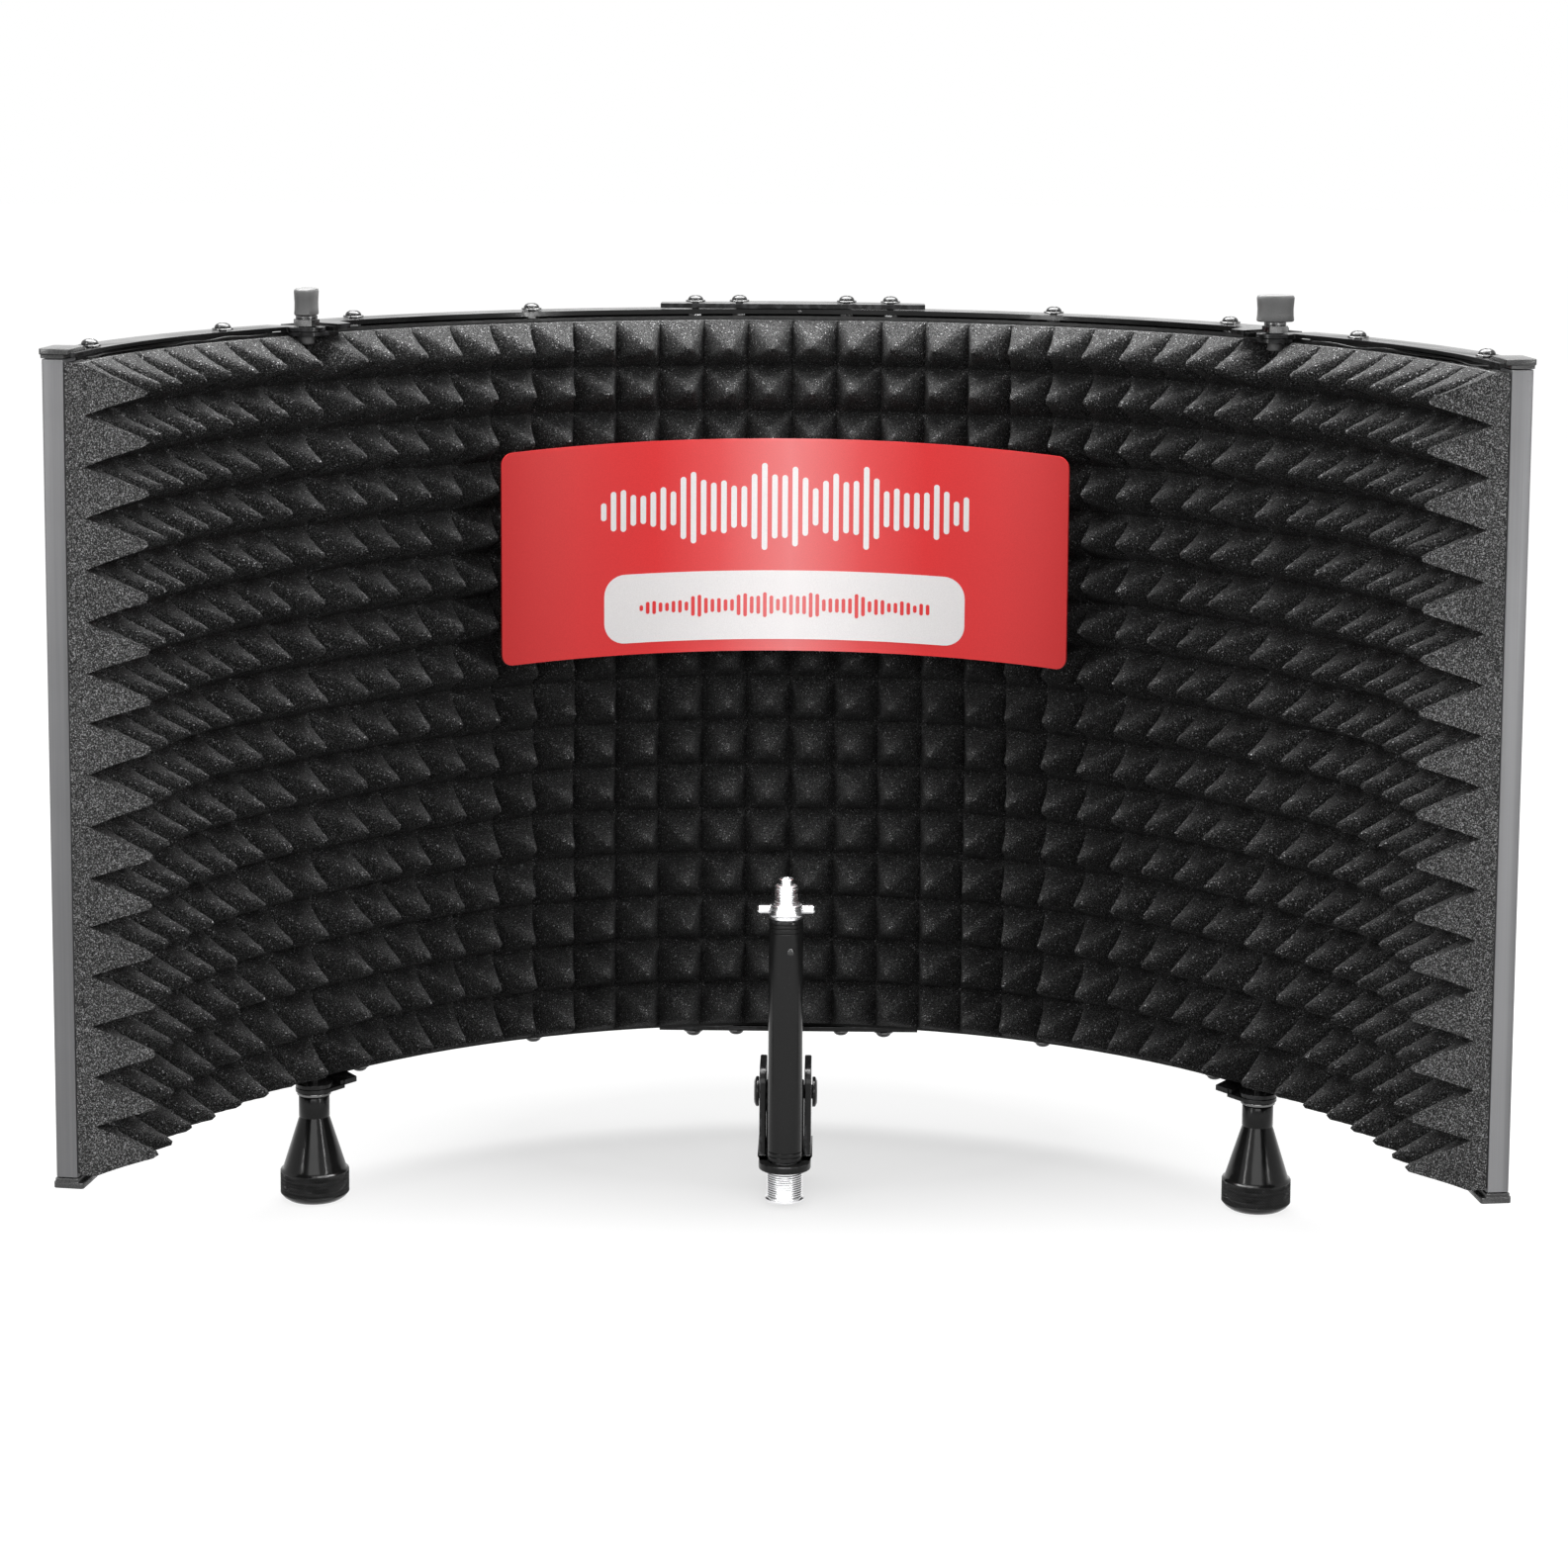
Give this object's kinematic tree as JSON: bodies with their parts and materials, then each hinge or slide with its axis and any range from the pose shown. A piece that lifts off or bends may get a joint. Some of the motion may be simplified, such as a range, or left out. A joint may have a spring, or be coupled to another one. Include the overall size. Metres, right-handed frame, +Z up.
{
  "type": "microphone isolation shield",
  "caption": "Curved folding microphone isolation shield: pyramid foam in black metal rails, hinged wings on turned feet, and a tilting threaded mic and stand mount.",
  "frame": {"origin": "middle of the base of the box round the whole shield, on the plane the feet stand on", "axes": "+X to the right along the width, +Y to the convex back, so that the open side faces -Y, +Z up"},
  "size_m": [0.5442, 0.2502, 0.3724],
  "materials": {
    "black_metal": "gloss black",
    "back_sheet": "satin black, perforated",
    "foam": "open-cell charcoal foam",
    "post_metal": "grey satin",
    "cap_plastic": "gloss black",
    "knob_plastic": "satin dark grey",
    "chrome": "polished",
    "screw_metal": "black zinc",
    "card": "printed red and white, laminated"
  },
  "bodies": {
    "centre_panel": {"centre_back_panel": "back_sheet", "centre_bottom_rail": "black_metal", "centre_bottom_screw_1": "screw_metal", "centre_bottom_screw_2": "screw_metal", "centre_bottom_screw_3": "screw_metal", "centre_bottom_screw_4": "screw_metal", "centre_bottom_screw_5": "screw_metal", "centre_bottom_screw_6": "screw_metal", "centre_bottom_screw_7": "screw_metal", "centre_bottom_screw_8": "screw_metal", "centre_foam": "foam", "centre_top_rail": "black_metal", "centre_top_screw_1": "screw_metal", "centre_top_screw_2": "screw_metal", "centre_top_screw_3": "screw_metal", "centre_top_screw_4": "screw_metal", "centre_top_screw_5": "screw_metal", "centre_top_screw_6": "screw_metal", "centre_top_screw_7": "screw_metal", "centre_top_screw_8": "screw_metal", "display_card": "card", "left_foot_washer": "screw_metal", "mount_bracket": "black_metal", "right_foot_washer": "screw_metal"},
    "left_wing": {"left_bottom_end_cap": "cap_plastic", "left_end_post": "post_metal", "left_hinge_nut": "screw_metal", "left_top_end_cap": "cap_plastic", "left_wing_back_panel": "back_sheet", "left_wing_bottom_rail": "black_metal", "left_wing_bottom_screw_1": "screw_metal", "left_wing_bottom_screw_2": "screw_metal", "left_wing_foam": "foam", "left_wing_top_rail": "black_metal", "left_wing_top_screw_1": "screw_metal", "left_wing_top_screw_2": "screw_metal"},
    "left_knob": {"left_hinge_knob": "knob_plastic"},
    "left_foot": {"left_foot": "black_metal"},
    "right_wing": {"right_bottom_end_cap": "cap_plastic", "right_end_post": "post_metal", "right_hinge_nut": "screw_metal", "right_top_end_cap": "cap_plastic", "right_wing_back_panel": "back_sheet", "right_wing_bottom_rail": "black_metal", "right_wing_bottom_screw_1": "screw_metal", "right_wing_bottom_screw_2": "screw_metal", "right_wing_foam": "foam", "right_wing_top_rail": "black_metal", "right_wing_top_screw_1": "screw_metal", "right_wing_top_screw_2": "screw_metal"},
    "right_knob": {"right_hinge_knob": "knob_plastic"},
    "right_foot": {"right_foot": "black_metal"},
    "mic_yoke": {"mount_yoke": "black_metal", "pivot_bolt": "black_metal", "pivot_nut": "black_metal", "pivot_spacer": "black_metal", "mic_post_tube": "black_metal", "thread_adapter": "chrome", "stand_insert": "chrome"},
    "lock_ring": {"lock_ring": "chrome"}
  },
  "joints": [
    {"name": "left_wing_fold", "type": "hinge", "parent": "centre_panel", "child": "left_wing", "pos_m": [-0.19232, 0.00891, 0.201], "axis": [0, 0, 1], "range_deg": [-8, 50]},
    {"name": "left_knob_turn", "type": "hinge", "parent": "centre_panel", "child": "left_knob", "pos_m": [-0.19232, 0.00891, 0.367], "axis": [0, 0, 1], "range_deg": [-180, 180]},
    {"name": "left_foot_turn", "type": "hinge", "parent": "centre_panel", "child": "left_foot", "pos_m": [-0.19232, 0.00891, 0.02], "axis": [0, 0, 1], "range_deg": [-180, 180]},
    {"name": "right_wing_fold", "type": "hinge", "parent": "centre_panel", "child": "right_wing", "pos_m": [0.19232, 0.00891, 0.201], "axis": [0, 0, -1], "range_deg": [-8, 50]},
    {"name": "right_knob_turn", "type": "hinge", "parent": "centre_panel", "child": "right_knob", "pos_m": [0.19232, 0.00891, 0.367], "axis": [0, 0, 1], "range_deg": [-180, 180]},
    {"name": "right_foot_turn", "type": "hinge", "parent": "centre_panel", "child": "right_foot", "pos_m": [0.19232, 0.00891, 0.02], "axis": [0, 0, 1], "range_deg": [-180, 180]},
    {"name": "mic_mount_tilt", "type": "hinge", "parent": "centre_panel", "child": "mic_yoke", "pos_m": [0, 0.03051, 0.04], "axis": [1, 0, 0], "range_deg": [-30, 1]},
    {"name": "lock_ring_turn", "type": "hinge", "parent": "mic_yoke", "child": "lock_ring", "pos_m": [0, 0.00831, 0.122], "axis": [0, 0, 1], "range_deg": [-180, 180]}
  ]
}
